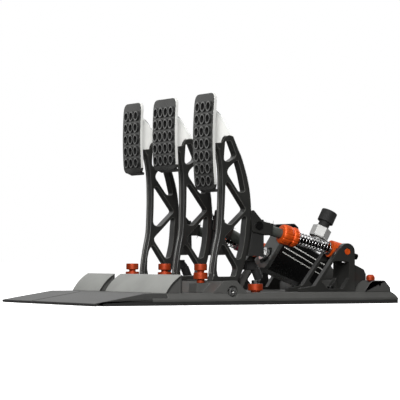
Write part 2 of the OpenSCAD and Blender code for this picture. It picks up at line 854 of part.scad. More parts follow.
// Lug on the rear of an arm, with the bore for the clevis bolt.
module lug(x) {
  color("#1e1e1d") at_front() difference() {
    across(x - lug_half, x + lug_half) difference() {
      polygon(rounded([[238, 63.5], [265, 63.5], [265, 112], [243, 112]], 1.5));
      arm_outline();
    }
    bar_x(x - 20, x + 20, throttle_pin, clevis_pin_r + running);
  }
}

module lug_throttle() {
  lug(throttle_x);
}

module lug_brake() {
  tilted_back() lug(brake_x);
}

module lug_clutch() {
  tilted_back() lug(clutch_x);
}

// Clevis: two plates that straddle the lug, joined by a web that holds the rod.
module clevis(x, pin, fall, bar_r) {
  color("#2b2b29") at_front() along_rod(x, pin, fall) difference() {
    union() {
      for (s = [-1, 1])
        across(s * (fork_in + fork_plate / 2) - fork_plate / 2, s * (fork_in + fork_plate / 2) + fork_plate / 2)
          polygon(rounded([
            [-15.5, 15.5], [-7, -10.5], [10, -9.5], [fork_end, -8], [fork_end, 8], [12, 7], [4, 7.5], [-12.5, 18]
          ], 1.5));
      across(-fork_in - 1, fork_in + 1) translate([web_start, -8]) square([fork_end - web_start, 15.5]);
    }
    bar_x(-20, 20, [0, 0], clevis_pin_r);
    turn_y(10, 30, bar_r);
  }
}

module clevis_bolt(x, pin, fall) {
  reach_x = fork_in + fork_plate;
  color("#3a3a38") at_front() along_rod(x, pin, fall) {
    bar_x(-reach_x, reach_x, [0, 0], clevis_pin_r);
    bar_x(reach_x, reach_x + 2.5, [0, 0], 5.5);
    bar_x(-reach_x - 3, -reach_x, [0, 0], 5.5);
  }
}

module clevis_throttle() {
  clevis(throttle_x, throttle_pin, throttle_slope, rod_d / 2);
}

module clevis_brake() {
  clevis(brake_x, brake_pin, brake_slope, push_rod_d / 2);
}

module clevis_clutch() {
  clevis(clutch_x, clutch_pin, clutch_slope, rod_d / 2);
}

module clevis_bolt_throttle() {
  clevis_bolt(throttle_x, throttle_pin, throttle_slope);
}

module clevis_bolt_brake() {
  clevis_bolt(brake_x, brake_pin, brake_slope);
}

module clevis_bolt_clutch() {
  clevis_bolt(clutch_x, clutch_pin, clutch_slope);
}

// Rods: the sprung ones slide through their trunnion, the brake's pushes on the piston.
module rod(x, pin, fall, end, bar_r, collar_r, collar_end) {
  color("#9c9c98") at_front() along_rod(x, pin, fall) {
    turn_y(web_start, end, bar_r);
    turn_y(fork_end, collar_end, collar_r);
  }
}

module rod_throttle() {
  rod(throttle_x, throttle_pin, throttle_slope, throttle_reach + rod_past, rod_d / 2, 6.8, preload_start);
}

module rod_brake() {
  tip = cylinder_start - piston_out + cup_depth - cup_play;
  rod(brake_x, brake_pin, brake_slope, tip, push_rod_d / 2, 7.5, fork_end + 21);
}

module rod_clutch() {
  rod(clutch_x, clutch_pin, clutch_slope, clutch_reach + rod_past, rod_d / 2, 6.8, preload_start);
}

// Orange link knobs: scalloped rims, threaded on the rod.
module link_knob(x, pin, fall, s0, s1) {
  color("#c8400f") at_front() along_rod(x, pin, fall) difference() {
    turn_y(s0, s1, link_knob_r);
    turn_y(s0 - 1, s1 + 1, rod_d / 2 + running);
    for (i = [0:11])
      rotate([0, i * 30, 0]) translate([link_knob_r + 1.8, 0, 0]) turn_y(s0 - 1, s1 + 1, 2.4);
  }
}

module preload_knob(x, pin, fall) {
  link_knob(x, pin, fall, preload_start + 0.1, preload_start + preload_length);
}

module lock_knob(x, pin, fall) {
  link_knob(x, pin, fall, preload_start + preload_length + 0.1, preload_start + preload_length + lock_length);
}

module preload_knob_throttle() {
  preload_knob(throttle_x, throttle_pin, throttle_slope);
}

module preload_knob_clutch() {
  preload_knob(clutch_x, clutch_pin, clutch_slope);
}

module lock_knob_throttle() {
  lock_knob(throttle_x, throttle_pin, throttle_slope);
}

module lock_knob_clutch() {
  lock_knob(clutch_x, clutch_pin, clutch_slope);
}

// A round wire wound from s0 to s1 along the rod, with closed end turns.
module coil(s0, s1, turns) {
  sides = 6;
  steps = 16;
  mean_r = coil_r - wire_d / 2;
  count = turns * steps;
  closed = wire_d * 1.02;
  pitch = (s1 - s0 - wire_d - 2 * closed) / (turns - 2);
  function at(t) = s0 + wire_d / 2
    + (t < 1 ? t * closed : t > turns - 1 ? closed + (turns - 2) * pitch + (t - turns + 1) * closed
      : closed + (t - 1) * pitch);
  points = [
    for (i = [0:count], j = [0:sides - 1])
      let (
        t = i / steps,
        r = mean_r + wire_d / 2 * cos(j * 360 / sides),
        s = at(t) + wire_d / 2 * sin(j * 360 / sides)
      )
      [r * cos(t * 360), s, r * sin(t * 360)]
  ];
  faces = concat(
    [[for (j = [0:sides - 1]) j]],
    [[for (j = [sides - 1:-1:0]) count * sides + j]],
    [
      for (i = [0:count - 1], j = [0:sides - 1])
        [i * sides + j, (i + 1) * sides + j, (i + 1) * sides + (j + 1) % sides, i * sides + (j + 1) % sides]
    ]
  );
  polyhedron(points = points, faces = faces);
}

module spring_throttle() {
  color("silver") at_front() along_rod(throttle_x, throttle_pin, throttle_slope)
    coil(spring_start, throttle_reach - trunnion_front - 0.1, throttle_turns);
}

module spring_clutch_front() {
  color("silver") at_front() along_rod(clutch_x, clutch_pin, clutch_slope)
    coil(spring_start, spring_start + clutch_half - 0.1, clutch_turns);
}

module spring_clutch_rear() {
  color("silver") at_front() along_rod(clutch_x, clutch_pin, clutch_slope)
    coil(spring_start + clutch_half + divider_length + 0.1, clutch_spring_end - 0.1, clutch_turns);
}

module divider_clutch() {
  color("#b05060") at_front() along_rod(clutch_x, clutch_pin, clutch_slope)
    ring_y(spring_start + clutch_half, spring_start + clutch_half + divider_length, coil_r + 1.6,
      rod_d / 2 + rod_play);
}

// Trunnion: an orange barrel on two cross pins, with a bore for the sliding rod.
module trunnion(x, pin, fall, length) {
  color("#c8400f") at_front() along_rod(x, pin, fall) difference() {
    union() {
      turn_y(length - trunnion_front, length + trunnion_back, trunnion_r - side_gap);
      bar_x(-bracket_half, bracket_half, [length, 0], trunnion_pin_d / 2);
    }
    turn_y(length - 30, length + 30, rod_d / 2 + rod_play);
  }
}

module trunnion_throttle() {
  trunnion(throttle_x, throttle_pin, throttle_slope, throttle_reach);
}

module trunnion_clutch() {
  trunnion(clutch_x, clutch_pin, clutch_slope, clutch_reach);
}

// Brake cylinder, in the frame of the piston's axis with the front face at 0.
module in_cylinder() {
  at_front() along_rod(brake_x, face_of_cylinder, brake_slope) children();
}

// The block's solid between two side outlines: flat sides, bevelled along the edges.
module block_slice() {
  intersection() {
    across(-block_half, block_half) children();
    rotate([-90, 0, 0]) translate([0, 0, -20]) linear_extrude(height = block_length + 40)
      polygon([
        [-block_half + 5, 22], [-block_half, 16.5], [-block_half, -block_top + 2.5],
        [-block_half + 3.5, -block_top], [block_half - 3.5, -block_top],
        [block_half, -block_top + 2.5], [block_half, 16.5], [block_half - 5, 22]
      ]);
  }
}
function block_low(at) = [at, -20.25 + 0.1 * at];

// Side outline of the block from one length to its rear end, which is cut off low down.
module block_outline(low_start, top_start) {
  polygon([
    block_low(low_start), [top_start, block_top], [block_length, block_top],
    [block_length, -5], block_low(block_length - 8)
  ]);
}

module cylinder_body() {
  color("#0e0e0e") in_cylinder() difference() {
    block_slice() block_outline(cap_length - 4.4, cap_length + 1.5);
    turn_y(-1, bore_depth, piston_r + running);
    for (s = [-1, 1], t = groove_t)
      translate([s * block_half, 0, t]) turn_y(cap_length + 3, block_length - 3, 0.6);
    translate([0, sensor_at, block_top - 8]) cylinder(h = 20, r = 6);
  }
}

module cylinder_cap() {
  color("#8a8a88") in_cylinder() difference() {
    block_slice() polygon([
      block_low(-4.4), [1.5, block_top], [cap_length + 1.5, block_top], block_low(cap_length - 4.4)
    ]);
    turn_y(-10, cap_length + 10, piston_r + running);
    turn_y(-10, 2, cap_bore_r);
  }
}

// Mount that carries the block's rear end on the floor plate and the rear rail.
module cylinder_mount() {
  wide = 16;
  color("#5a5a58") difference() {
    at_front() across(brake_x - wide, brake_x + wide) translate([rear_rail_start, 0]) polygon([
      [-11, base_top], [-11, 38], [8, 55], [27, 52], [35, 41],
      [rear_rail_depth - 9.5, rear_rail_top], [14, rear_rail_top], [8, rear_rail_top - 4], [0, base_top]
    ]);
    in_cylinder() across(-block_half, block_half) block_outline(-10, -10);
  }
}

// Fluid reservoir: a level-topped block on the sloping cylinder.
module reservoir() {
  color("#141416") difference() {
    at_front() across(brake_x - reservoir_half, brake_x + reservoir_half) polygon(rounded([
      [341, 60], [341, 105], [343, 107.5], [371.5, 108.6], [377.8, 103.5], [378.5, 60]
    ], 1));
    in_cylinder() across(-block_half, block_half)
      polygon([[-60, block_top - 60], [-60, block_top], [block_length, block_top], [block_length, block_top - 60]]);
  }
}

module piston() {
  color("#dcdcdc") in_cylinder() difference() {
    turn_y(-piston_out, piston_length - piston_out, piston_r);
    turn_y(-piston_out - 1, -piston_out + cup_depth, push_rod_d / 2 + cup_play);
  }
}

// Pressure sensor on an adapter that screws into the cylinder.
module pressure_sensor() {
  color("#c8c8c6") in_cylinder() translate([0, sensor_at, 0]) {
    translate([0, 0, block_top - 8]) cylinder(h = hexagon_at - block_top + 8 - 1.5, r = 6);
    translate([0, 0, hexagon_at - 1.5]) cylinder(h = 1.5, d = hexagon_flats + 2);
    translate([0, 0, hexagon_at]) cylinder(h = hexagon_height, d = hexagon_flats / cos(30), $fn = 6);
  }
}

module sensor_plug() {
  neck = hexagon_at + hexagon_height;
  color("#161616") in_cylinder() translate([0, sensor_at, 0]) {
    translate([0, 0, neck]) cylinder(h = 9, r = 8);
    translate([0, 0, neck + 9]) cylinder(h = 17, r = plug_r);
  }
}

// Stop knobs: a cap and a disc on one stem, on the beam's pad in front of each arm.
module stop_knob(x) {
  color("#c8400f") at_front() translate([x, stop_knob_y, 0]) {
    translate([0, 0, base_top + 2]) cylinder(h = 25, r = stop_stem_r);
    translate([0, 0, stop_pad_top + 0.1]) cylinder(h = 5, r = 5.2);
    translate([0, 0, stop_pad_top + 5.1]) cylinder(h = 8.7, r = stop_disc_r);
    translate([0, 0, stop_pad_top + 13.8]) cylinder(h = 2.8, r = 4.6);
    translate([0, 0, stop_pad_top + 16.6]) cylinder(h = 8.5, r = stop_cap_r);
  }
}

module stop_knob_throttle() {
  stop_knob(throttle_x);
}

module stop_knob_brake() {
  stop_knob(brake_x);
}

module stop_knob_clutch() {
  stop_knob(clutch_x);
}

// Travel knob behind the throttle's arm, under the end of its stroke.
module travel_knob() {
  color("#c8400f") at_front() translate([throttle_x, travel_knob_y, base_top]) {
    translate([0, 0, -sheet]) cylinder(h = sheet + 1, r = stop_stem_r);
    translate([0, 0, 0.1]) cylinder(h = 2, r = 6.5);
    translate([0, 0, 2.1]) cylinder(h = 9.1, r = travel_knob_r);
    translate([0, 0, 11.2]) cylinder(h = 4.8, r = 5.6, $fn = 6);
  }
}

// Clamp knob on the rear rail.
module rear_clamp_knob() {
  color("#c8400f") at_front() translate([clamp_knob_x, clamp_knob_y, 0]) {
    translate([0, 0, rear_rail_top - 8]) cylinder(h = 9, r = clamp_stem_r);
    translate([0, 0, rear_rail_top + 0.1]) cylinder(h = 5.5, r = clamp_knob_r);
    translate([0, 0, rear_rail_top + 5.6]) cylinder(h = 2.4, r1 = clamp_knob_r, r2 = clamp_knob_r - 2.4);
  }
}

base_plate_main();
base_plate_clutch();
base_rubber();
heel_plate_main();
heel_plate_clutch();
heel_rail_main();
heel_rail_clutch();
rear_rail_main();
rear_rail_clutch();
pivot_beam_main();
pivot_beam_clutch();
axles();
base_screws();
rear_bracket_throttle();
rear_bracket_clutch();
sensor_brackets();
position_sensors();
arm_throttle();
arm_brake();
arm_clutch();
head_throttle();
head_brake();
head_clutch();
face_plate_throttle();
face_plate_brake();
face_plate_clutch();
lug_throttle();
lug_brake();
lug_clutch();
clevis_throttle();
clevis_brake();
clevis_clutch();
clevis_bolt_throttle();
clevis_bolt_brake();
clevis_bolt_clutch();
rod_throttle();
rod_brake();
rod_clutch();
preload_knob_throttle();
preload_knob_clutch();
lock_knob_throttle();
lock_knob_clutch();
spring_throttle();
spring_clutch_front();
spring_clutch_rear();
divider_clutch();
trunnion_throttle();
trunnion_clutch();
cylinder_body();
cylinder_cap();
cylinder_mount();
reservoir();
piston();
pressure_sensor();
sensor_plug();
stop_knob_throttle();
stop_knob_brake();
stop_knob_clutch();
travel_knob();
rear_clamp_knob();
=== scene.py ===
import json
import math

import bpy
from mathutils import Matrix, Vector

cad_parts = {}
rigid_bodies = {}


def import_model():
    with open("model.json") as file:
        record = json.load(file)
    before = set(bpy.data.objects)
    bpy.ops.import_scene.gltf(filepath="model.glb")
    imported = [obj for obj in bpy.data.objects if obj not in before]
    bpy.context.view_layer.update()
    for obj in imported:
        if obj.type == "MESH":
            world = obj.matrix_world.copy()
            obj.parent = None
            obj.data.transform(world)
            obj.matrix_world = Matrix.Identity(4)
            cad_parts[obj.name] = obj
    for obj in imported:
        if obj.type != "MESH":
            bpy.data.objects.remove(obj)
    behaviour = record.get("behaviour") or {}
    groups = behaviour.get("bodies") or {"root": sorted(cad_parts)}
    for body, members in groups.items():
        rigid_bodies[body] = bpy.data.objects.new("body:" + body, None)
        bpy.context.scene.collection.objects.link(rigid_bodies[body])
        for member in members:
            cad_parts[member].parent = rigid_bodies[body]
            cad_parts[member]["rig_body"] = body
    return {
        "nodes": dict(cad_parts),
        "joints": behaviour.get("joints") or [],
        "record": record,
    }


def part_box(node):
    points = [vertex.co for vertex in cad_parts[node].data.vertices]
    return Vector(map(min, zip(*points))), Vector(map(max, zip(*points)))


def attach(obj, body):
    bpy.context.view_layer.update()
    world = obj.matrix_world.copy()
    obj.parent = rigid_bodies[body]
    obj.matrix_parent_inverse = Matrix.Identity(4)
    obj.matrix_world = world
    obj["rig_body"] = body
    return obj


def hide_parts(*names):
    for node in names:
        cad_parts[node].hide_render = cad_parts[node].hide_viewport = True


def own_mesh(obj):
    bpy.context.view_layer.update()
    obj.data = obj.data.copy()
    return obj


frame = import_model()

# The sim racing pedal set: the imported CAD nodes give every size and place, and this
# script gives them broken edges, surface detail, finishes, a studio and a camera.

MM = 0.001
MERGE_DISTANCE = 0.005
scene = bpy.context.scene
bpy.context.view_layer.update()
joint = {j["name"]: j for j in frame["joints"]}

# Camera: the photograph was taken from the driver's right, close to the floor.
CAMERA_PLACE = (2.77785, -1.40812, 0.06505)
CAMERA_PITCH = math.radians(91.38)
CAMERA_AZIMUTH = math.radians(63.07)
CAMERA_LENS = 205.0
CAMERA_SENSOR = 36.0

camera_data = bpy.data.cameras.new("camera")
camera_data.lens = CAMERA_LENS
camera_data.sensor_width = CAMERA_SENSOR
camera_data.clip_end = 50.0
camera = bpy.data.objects.new("camera", camera_data)
camera.location = CAMERA_PLACE
camera.rotation_euler = (CAMERA_PITCH, 0, CAMERA_AZIMUTH)
scene.collection.objects.link(camera)
scene.camera = camera
scene.view_settings.view_transform = "Standard"


# Small tools for modelling.

def take(*pieces):
    """Selects these pieces alone, with the first one active."""
    bpy.ops.object.select_all(action="DESELECT")
    for piece in pieces:
        piece.select_set(True)
    bpy.context.view_layer.objects.active = pieces[0]


def in_edit_mode(piece, mode="FACE"):
    take(piece)
    bpy.ops.object.mode_set(mode="EDIT")
    bpy.ops.mesh.select_mode(type=mode)


def select_faces(piece, chosen):
    """Leaves edit mode, marks the faces that chosen() names, and comes back with them selected."""
    bpy.ops.mesh.select_all(action="DESELECT")
    bpy.ops.object.mode_set(mode="OBJECT")
    for face in piece.data.polygons:
        face.select = chosen(face)
    bpy.ops.object.mode_set(mode="EDIT")


def select_edges(piece, chosen):
    """Leaves a piece in edit mode with the edges selected that chosen() names."""
    in_edit_mode(piece, "EDGE")
    bpy.ops.mesh.select_all(action="DESELECT")
    bpy.ops.object.mode_set(mode="OBJECT")
    for edge in piece.data.edges:
        edge.select = chosen(edge)
    bpy.ops.object.mode_set(mode="EDIT")


def finish_with(piece, kind, **settings):
    """Adds one modifier with its settings and applies it."""
    take(piece)
    modifier = piece.modifiers.new(kind.lower(), kind)
    for name, value in settings.items():
        setattr(modifier, name, value)
    bpy.ops.object.modifier_apply(modifier=modifier.name)


def merged_copy(node, name, bend=0.4):
    """A copy of a CAD node's mesh. Triangles that meet at under bend degrees become one face."""
    piece = bpy.data.objects.new(name, frame["nodes"][node].data.copy())
    scene.collection.objects.link(piece)
    take(piece)
    if piece.data.has_custom_normals:
        bpy.ops.mesh.customdata_custom_splitnormals_clear()
    in_edit_mode(piece, "VERT")
    bpy.ops.mesh.select_all(action="SELECT")
    bpy.ops.mesh.remove_doubles(threshold=MERGE_DISTANCE * MM)
    bpy.ops.mesh.dissolve_limited(angle_limit=math.radians(bend))
    bpy.ops.object.mode_set(mode="OBJECT")
    piece.data.materials.clear()
    return piece


def broken_edges(piece, width, segments=2, sharper_than=36, edge_material=-1):
    """Breaks a piece's sharp edges by width in mm, as a deburring wheel or a coat of paint does.
    The broken edges take the finish in slot edge_material, or with -1 that of their faces."""
    finish_with(
        piece, "BEVEL", width=width * MM, segments=segments, limit_method="ANGLE",
        angle_limit=math.radians(sharper_than), use_clamp_overlap=False, miter_outer="MITER_SHARP",
        material=edge_material,
    )
    take(piece)
    bpy.ops.object.shade_smooth_by_angle(angle=math.radians(sharper_than))
    finish_with(piece, "WEIGHTED_NORMAL", keep_sharp=True, weight=60)


def body_of(node):
    return frame["nodes"][node]["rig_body"]


def stand_for(piece, node, finish):
    """A finished piece takes a CAD node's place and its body."""
    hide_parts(node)
    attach(piece, body_of(node))
    if not piece.data.materials:
        piece.data.materials.append(finish)
    return piece


# Small tools for materials.

def linear(colour):
    """An sRGB hex colour as linear light."""
    channels = [int(colour[i:i + 2], 16) / 255 for i in (1, 3, 5)]
    return [c / 12.92 if c <= 0.04045 else ((c + 0.055) / 1.055) ** 2.4 for c in channels] + [1.0]


def per_metre(size):
    """A noise scale at which the pattern's features are about this many mm apart."""
    return 1000.0 / size


def add_node(material, kind, settings=None, **links):
    """Adds one node. Settings are its own values, links its inputs: a value or (node, output)."""
    made = material.node_tree.nodes.new(kind)
    for name, value in (settings or {}).items():
        setattr(made, name, value)
    for name, value in links.items():
        socket = made.inputs[name.replace("_", " ")]
        if isinstance(value, tuple) and isinstance(value[0], bpy.types.Node):
            material.node_tree.links.new(value[0].outputs[value[1]], socket)
        else:
            socket.default_value = value
    return made


def new_finish(name, metallic, roughness, colour):
    """A material with its surface shader, ready for its patterns."""
    material = bpy.data.materials.new(name)
    material.use_nodes = True
    surface = material.node_tree.nodes["Principled BSDF"]
    surface.inputs["Base Color"].default_value = linear(colour)
    surface.inputs["Metallic"].default_value = metallic
    surface.inputs["Roughness"].default_value = roughness
    place = add_node(material, "ShaderNodeTexCoord")
    return material, surface, place


def connect(material, source, output, target, socket):
    material.node_tree.links.new(source.outputs[output], target.inputs[socket])


def tone_ramp(material, source, output, dark, light, start=0.3, end=0.7):
    """Turns a pattern into a run from one colour to another."""
    ramp = add_node(material, "ShaderNodeValToRGB")
    ramp.color_ramp.elements[0].position = start
    ramp.color_ramp.elements[0].color = linear(dark)
    ramp.color_ramp.elements[1].position = end
    ramp.color_ramp.elements[1].color = linear(light)
    connect(material, source, output, ramp, "Fac")
    return ramp


def roughness_from(material, source, output, surface, low, high):
    spread = add_node(material, "ShaderNodeMapRange", To_Min=low, To_Max=high)
    connect(material, source, output, spread, "Value")
    connect(material, spread, "Result", surface, "Roughness")


def bump_from(material, source, output, surface, depth, strength=0.5):
    """A pattern as relief: depth is its height in mm."""
    bump = add_node(material, "ShaderNodeBump", Strength=strength, Distance=depth * MM)
    connect(material, source, output, bump, "Height")
    connect(material, bump, "Normal", surface, "Normal")
    return bump


# The finishes, each named for the real material and how its surface was made.

def powder_coat(name, dark, light, roughness, grain=0.9, relief=0.03):
    """Steel with a baked powder coat: satin, with a fine orange peel and soft changes of tone."""
    material, surface, place = new_finish(name, 0.0, roughness, dark)
    peel = add_node(
        material, "ShaderNodeTexNoise", Vector=(place, "Object"), Scale=per_metre(grain),
        Detail=3.0, Roughness=0.5,
    )
    cloud = add_node(
        material, "ShaderNodeTexNoise", Vector=(place, "Object"), Scale=per_metre(60), Detail=4.0,
        Roughness=0.6,
    )
    tones = tone_ramp(material, cloud, "Fac", dark, light)
    connect(material, tones, "Color", surface, "Base Color")
    roughness_from(material, peel, "Fac", surface, roughness - 0.06, roughness + 0.08)
    bump_from(material, peel, "Fac", surface, relief)
    return material


def blasted_aluminium(name, dark, light, roughness, metallic=0.6):
    """Clear-anodised aluminium, blasted with fine beads: even, pale, with a soft broad shine."""
    material, surface, place = new_finish(name, metallic, roughness, light)
    beads = add_node(
        material, "ShaderNodeTexNoise", Vector=(place, "Object"), Scale=per_metre(0.5), Detail=2.0,
    )
    cloud = add_node(
        material, "ShaderNodeTexNoise", Vector=(place, "Object"), Scale=per_metre(35), Detail=3.0,
    )
    tones = tone_ramp(material, cloud, "Fac", dark, light)
    connect(material, tones, "Color", surface, "Base Color")
    roughness_from(material, beads, "Fac", surface, roughness - 0.05, roughness + 0.07)
    bump_from(material, beads, "Fac", surface, 0.015)
    return material


def dyed_anodising(name, dark, light, roughness, metallic=0.5, mottle=5.0, relief=0.05):
    """Aluminium anodised and dyed: the dye sits in the oxide, so tones drift a little."""
    material, surface, place = new_finish(name, metallic, roughness, light)
    drift = add_node(
        material, "ShaderNodeTexNoise", Vector=(place, "Object"), Scale=per_metre(mottle),
        Detail=5.0, Roughness=0.65,
    )
    tooling = add_node(
        material, "ShaderNodeTexNoise", Vector=(place, "Object"), Scale=per_metre(0.7), Detail=2.0,
    )
    tones = tone_ramp(material, drift, "Fac", dark, light)
    connect(material, tones, "Color", surface, "Base Color")
    roughness_from(material, drift, "Fac", surface, roughness - 0.08, roughness + 0.1)
    bump_from(material, tooling, "Fac", surface, relief)
    return material


def turned_steel(name, dark, light, roughness, across=(0, 0, 1), pitch=0.8):
    """Bright steel turned on a lathe: fine rings lie square to the axis given."""
    material, surface, place = new_finish(name, 1.0, roughness, light)
    facing = Vector(across).to_track_quat("X", "Z").inverted().to_euler()
    laid = add_node(
        material, "ShaderNodeMapping", Vector=(place, "Object"), Rotation=facing,
    )
    rings = add_node(
        material, "ShaderNodeTexWave", {"wave_type": "BANDS", "bands_direction": "X"},
        Vector=(laid, "Vector"), Scale=per_metre(pitch) / 20, Distortion=0.4, Detail=2.0,
    )
    tones = tone_ramp(material, rings, "Fac", dark, light, 0.2, 0.8)
    connect(material, tones, "Color", surface, "Base Color")
    roughness_from(material, rings, "Fac", surface, roughness, roughness + 0.1)
    bump_from(material, rings, "Fac", surface, 0.004, 0.3)
    return material


def moulded_rubber(name, dark, light):
    """Black rubber from a mould: dull, with a fine pebble and a little dust in it."""
    material, surface, place = new_finish(name, 0.0, 0.8, dark)
    pebble = add_node(
        material, "ShaderNodeTexVoronoi", Vector=(place, "Object"), Scale=per_metre(1.2),
    )
    dust = add_node(
        material, "ShaderNodeTexNoise", Vector=(place, "Object"), Scale=per_metre(18), Detail=4.0,
    )
    tones = tone_ramp(material, dust, "Fac", dark, light)
    connect(material, tones, "Color", surface, "Base Color")
    roughness_from(material, dust, "Fac", surface, 0.72, 0.9)
    bump_from(material, pebble, "Distance", surface, 0.06)
    return material


def moulded_nylon(name, dark, light, roughness=0.45):
    """Glass-filled nylon from a steel mould: black, with a spark-eroded grain."""
    material, surface, place = new_finish(name, 0.0, roughness, dark)
    grain = add_node(
        material, "ShaderNodeTexNoise", Vector=(place, "Object"), Scale=per_metre(0.45), Detail=2.0,
    )
    flow = add_node(
        material, "ShaderNodeTexNoise", Vector=(place, "Object"), Scale=per_metre(14), Detail=3.0,
    )
    tones = tone_ramp(material, flow, "Fac", dark, light)
    connect(material, tones, "Color", surface, "Base Color")
    roughness_from(material, grain, "Fac", surface, roughness - 0.05, roughness + 0.12)
    bump_from(material, grain, "Fac", surface, 0.03)
    return material


base_coat = powder_coat("powder_coated_steel_grey", "#3c3c3a", "#484846", 0.46)
heel_coat = powder_coat("powder_coated_steel_fine_texture", "#333331", "#3d3d3b", 0.42, grain=1.6)
# A darker coat for the heel plates' sides, lip, seam and broken edges, and for the heel rails' end
# rims: painted shade.
painted_shade_coat = powder_coat("powder_coat_painted_shade", "#20201f", "#2a2a28", 0.5)
rail_finish = blasted_aluminium("blasted_aluminium_grey", "#8f908c", "#9c9d99", 0.5, metallic=0.2)
beam_coat = powder_coat("powder_coated_steel_dark", "#3e3e3c", "#484846", 0.5)
arm_coat = powder_coat("satin_coated_steel_black", "#1d1d1c", "#272725", 0.3, grain=0.7)
# A lighter coat for the arms' broken edges: a painted highlight.
edge_highlight_coat = powder_coat("satin_coat_painted_edge_highlight", "#4e4e4a", "#5e5e5a", 0.3, grain=0.7)
lug_coat = powder_coat("matte_coated_steel_black", "#181817", "#222221", 0.5)
head_finish = blasted_aluminium("blasted_aluminium_pale", "#eeeeea", "#f6f6f2", 0.42, metallic=0.08)
plate_finish = dyed_anodising(
    "grey_anodised_aluminium", "#666664", "#7a7a78", 0.22, metallic=0.85, mottle=40.0, relief=0.012,
)
# Black for the walls of the face plates' holes and the outer walls of their rims: painted shade.
painted_shade_black = dyed_anodising("black_painted_shade_round_rims_and_holes", "#0e0e0e", "#1a1a19", 0.5, 0.3, 6.0, 0.02)
# Near-white for the face plates' milled edges, and as a painted highlight along the cylinder block's
# edges.
milled_edge_and_highlight = blasted_aluminium(
    "bright_milled_edge_and_painted_highlight", "#e6e6e2", "#f2f2ef", 0.3, metallic=0.4,
)
collar_grey = blasted_aluminium("satin_nickel_grey", "#424642", "#505450", 0.42, metallic=0.3)
# Grey for the face plates' rim tops, a painted highlight, and for the heads' rounded rears, painted
# shade.
highlight_and_shade_grey = blasted_aluminium(
    "grey_painted_highlight_and_shade", "#a0a09e", "#b0b0ae", 0.26, metallic=0.8,
)
orange_dye = dyed_anodising("orange_anodised_aluminium", "#bc4006", "#e0580e", 0.44, 0.4)
# A darker copy of the orange anodising for the stop, travel and clamp knobs: painted shade.
shaded_orange = dyed_anodising("orange_anodised_painted_shade", "#902c04", "#a83a08", 0.5, 0.5)
end_finish = blasted_aluminium("grey_end_panels", "#464644", "#525250", 0.5, metallic=0.2)
red_dye = dyed_anodising("red_anodised_aluminium", "#8a2e3a", "#b24a58", 0.4, 0.35)
black_oxide = dyed_anodising("black_oxide_steel", "#0c0c0c", "#1c1c1b", 0.34, 0.6, 6.0, 0.02)
black_block = dyed_anodising("black_anodised_aluminium", "#070707", "#101010", 0.26, 0.3, 30.0, 0.01)
cap_finish = blasted_aluminium("machined_aluminium_grey", "#444543", "#555654", 0.4, metallic=0.6)

# Steel turned about the links' rods and about the brake's piston.
LINK_AXIS = joint["throttle_preload_turn"]["axis"]
PISTON_AXIS = joint["brake_piston_slide"]["axis"]

bright_steel = turned_steel("turned_steel", "#c8c8c6", "#d6d6d4", 0.24, (0, 1, -0.3))
chrome = turned_steel("hard_chromed_steel", "#e0e0e0", "#ececec", 0.12, PISTON_AXIS, 2.0)
spring_wire = turned_steel("polished_spring_wire", "#868686", "#9a9a9a", 0.16, LINK_AXIS, 3.0)
# Near-black steel for the rods inside the springs: painted shade from the coils.
shaded_rod_steel = turned_steel("steel_rod_painted_shade", "#161616", "#242424", 0.3, LINK_AXIS)

plated_steel = blasted_aluminium("zinc_plated_steel", "#a2a2a0", "#b0b0ae", 0.55, metallic=0.3)
rubber = moulded_rubber("moulded_rubber_black", "#0e0e0e", "#191918")
nylon = moulded_nylon("moulded_nylon_black", "#0a0a0a", "#141414", 0.75)

FINISH_OF_SLOT = {
    "base_paint": base_coat, "heel_paint": heel_coat, "rail_paint": rail_finish,
    "rubber_black": rubber, "arm_paint": arm_coat, "bright_alloy": head_finish,
    "plate_alloy": plate_finish, "orange_alloy": orange_dye, "steel_bright": bright_steel,
    "spring_steel": spring_wire, "divider_red": red_dye, "cylinder_black": black_block,
    "cap_alloy": cap_finish, "piston_chrome": chrome, "screw_black": black_oxide,
    "plug_plastic": nylon,
}
slot_of = {s["node"]: s["material_slot"] for s in frame["record"]["subparts"]}

# Machined, cut and folded pieces get their edges broken: width in mm.
EDGE_WIDTH = {
    "base_plate": 0.8, "base_rubber": 0.5, "heel_plate": 0.9, "heel_rail": 0.7, "rear_rail": 0.8,
    "pivot_beam": 0.6, "axles": 0.3, "base_screws": 0.3, "rear_bracket": 0.6, "sensor_brackets": 0.4,
    "position_sensors": 0.6, "lug": 0.5, "clevis_bolt": 0.4, "clevis": 0.5, "rod": 0.3,
    "divider": 0.6, "trunnion": 0.7, "cylinder_body": 0.5, "cylinder_cap": 0.5,
    "cylinder_mount": 0.6, "reservoir": 1.2, "piston": 0.8, "pressure_sensor": 0.5,
    "sensor_plug": 0.8, "stop_knob": 0.8, "travel_knob": 0.8, "rear_clamp": 0.8,
    "arm": 0.45, "head": 0.4, "face_plate": 0.45,
}


def edge_width(node):
    """The width of the longest name in EDGE_WIDTH that a node's name starts with."""
    return max((len(k), w) for k, w in EDGE_WIDTH.items() if node.startswith(k))[1]


# Nodes that get a shape of their own further down.
OWN_SHAPE = ("arm_", "head_", "face_plate_", "spring_", "preload_knob_", "lock_knob_")

# Nodes whose finish isn't that of their material slot.
SPECIAL_FINISH = {
    "pivot_beam_main": beam_coat, "pivot_beam_clutch": beam_coat, "cylinder_mount": beam_coat,
    "lug_throttle": lug_coat, "lug_brake": lug_coat, "lug_clutch": lug_coat,
    "pressure_sensor": plated_steel, "clevis_throttle": arm_coat, "clevis_brake": arm_coat,
    "clevis_clutch": arm_coat, "stop_knob_throttle": shaded_orange, "stop_knob_brake": shaded_orange,
    "stop_knob_clutch": shaded_orange, "rear_clamp_knob": shaded_orange,
}

